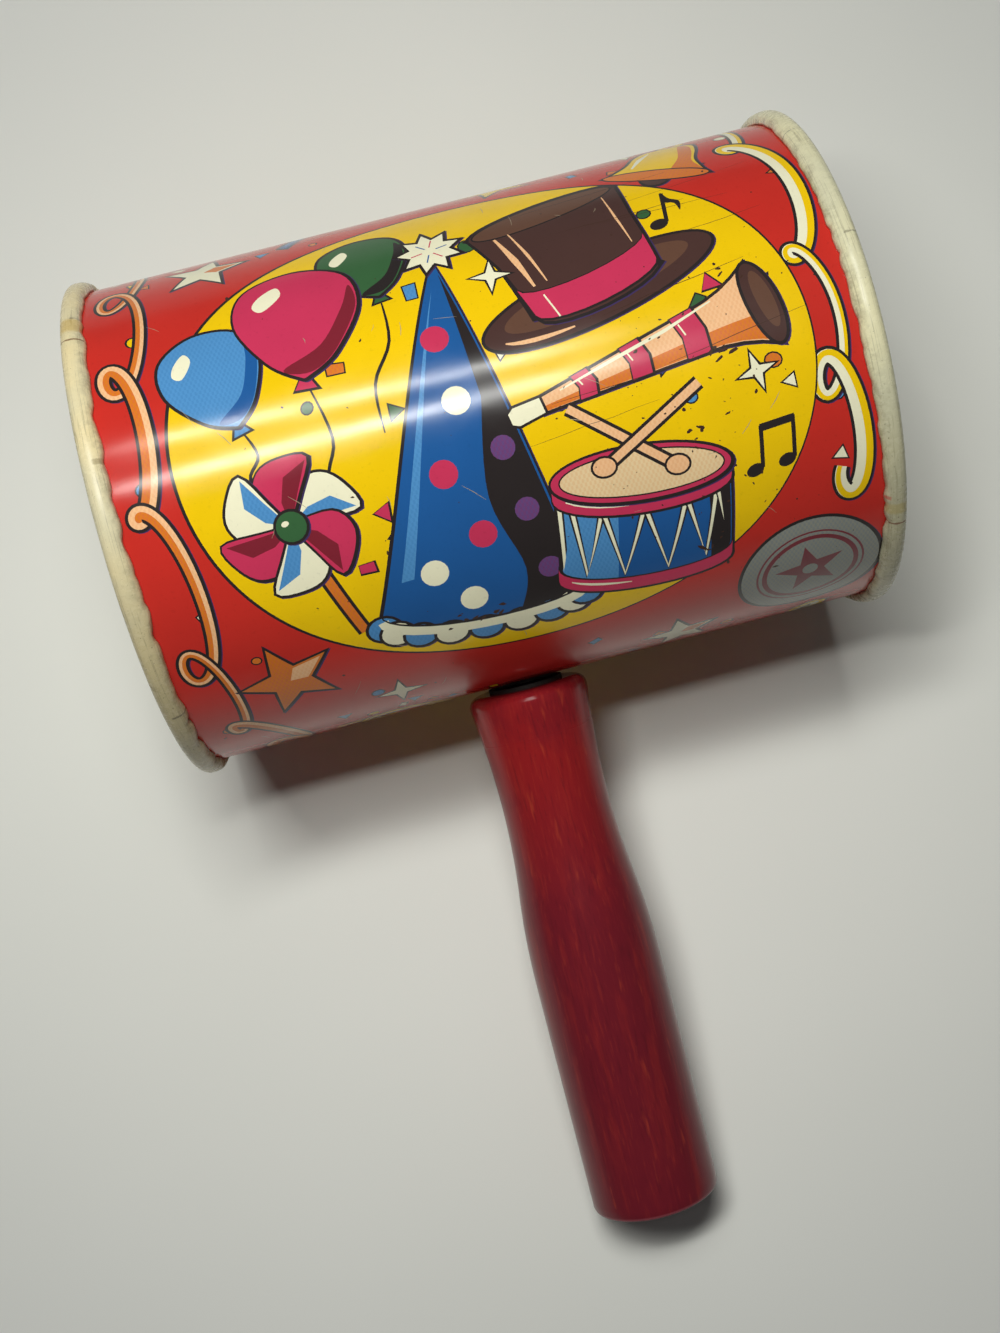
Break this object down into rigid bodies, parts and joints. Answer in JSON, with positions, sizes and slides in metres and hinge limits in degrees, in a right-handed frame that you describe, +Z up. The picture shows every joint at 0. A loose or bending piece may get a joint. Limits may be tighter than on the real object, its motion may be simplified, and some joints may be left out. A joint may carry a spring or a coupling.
{
  "type": "gragger noisemaker",
  "caption": "Tinplate can that whirls on a spindle in a turned wooden handle; a spring reed inside clacks over a wooden cog.",
  "frame": {"origin": "on the table, under the middle of the bounding box, with the toy lying on both rims and on the handle's butt", "axes": "+X along the can, +Y away from the handle, +Z up; the spindle slopes down towards the handle's butt"},
  "size_m": [0.1016, 0.1506, 0.0723],
  "materials": {
    "printed_tin": "lithographed tinplate under gloss varnish",
    "rim_enamel": "worn ivory enamel on tinplate",
    "dyed_wood": "red dye under gloss varnish",
    "plain_wood": "bare hardwood",
    "spindle_steel": "bright wire nail",
    "zinc_steel": "zinc plated",
    "bare_tin": "bare tinplate",
    "spring_steel": "blued spring strip"
  },
  "bodies": {
    "handle": {"wood_handle": "dyed_wood", "spindle": "spindle_steel", "thrust_washer": "zinc_steel", "ratchet_wheel": "plain_wood", "wheel_pin": "spindle_steel"},
    "can": {"can_shell": "printed_tin", "left_end_cap": "rim_enamel", "right_end_cap": "rim_enamel", "bearing_eyelet": "zinc_steel", "reed_bracket": "bare_tin", "reed_rivets": "zinc_steel", "reed_root": "spring_steel"},
    "reed": {"reed": "spring_steel"}
  },
  "joints": [
    {"name": "can_spin", "type": "hinge", "parent": "handle", "child": "can", "pos_m": [-0.0026, 0.03911, 0.03615], "axis": [0, 0.9724, 0.2332], "continuous": true},
    {"name": "reed_flex", "type": "hinge", "parent": "can", "child": "reed", "pos_m": [-0.038, 0.03654, 0.04685], "axis": [0, -0.9724, -0.2332], "range_deg": [0, 3], "stiffness_Nm_per_rad": 0.65, "springref_deg": -1.94}
  ]
}
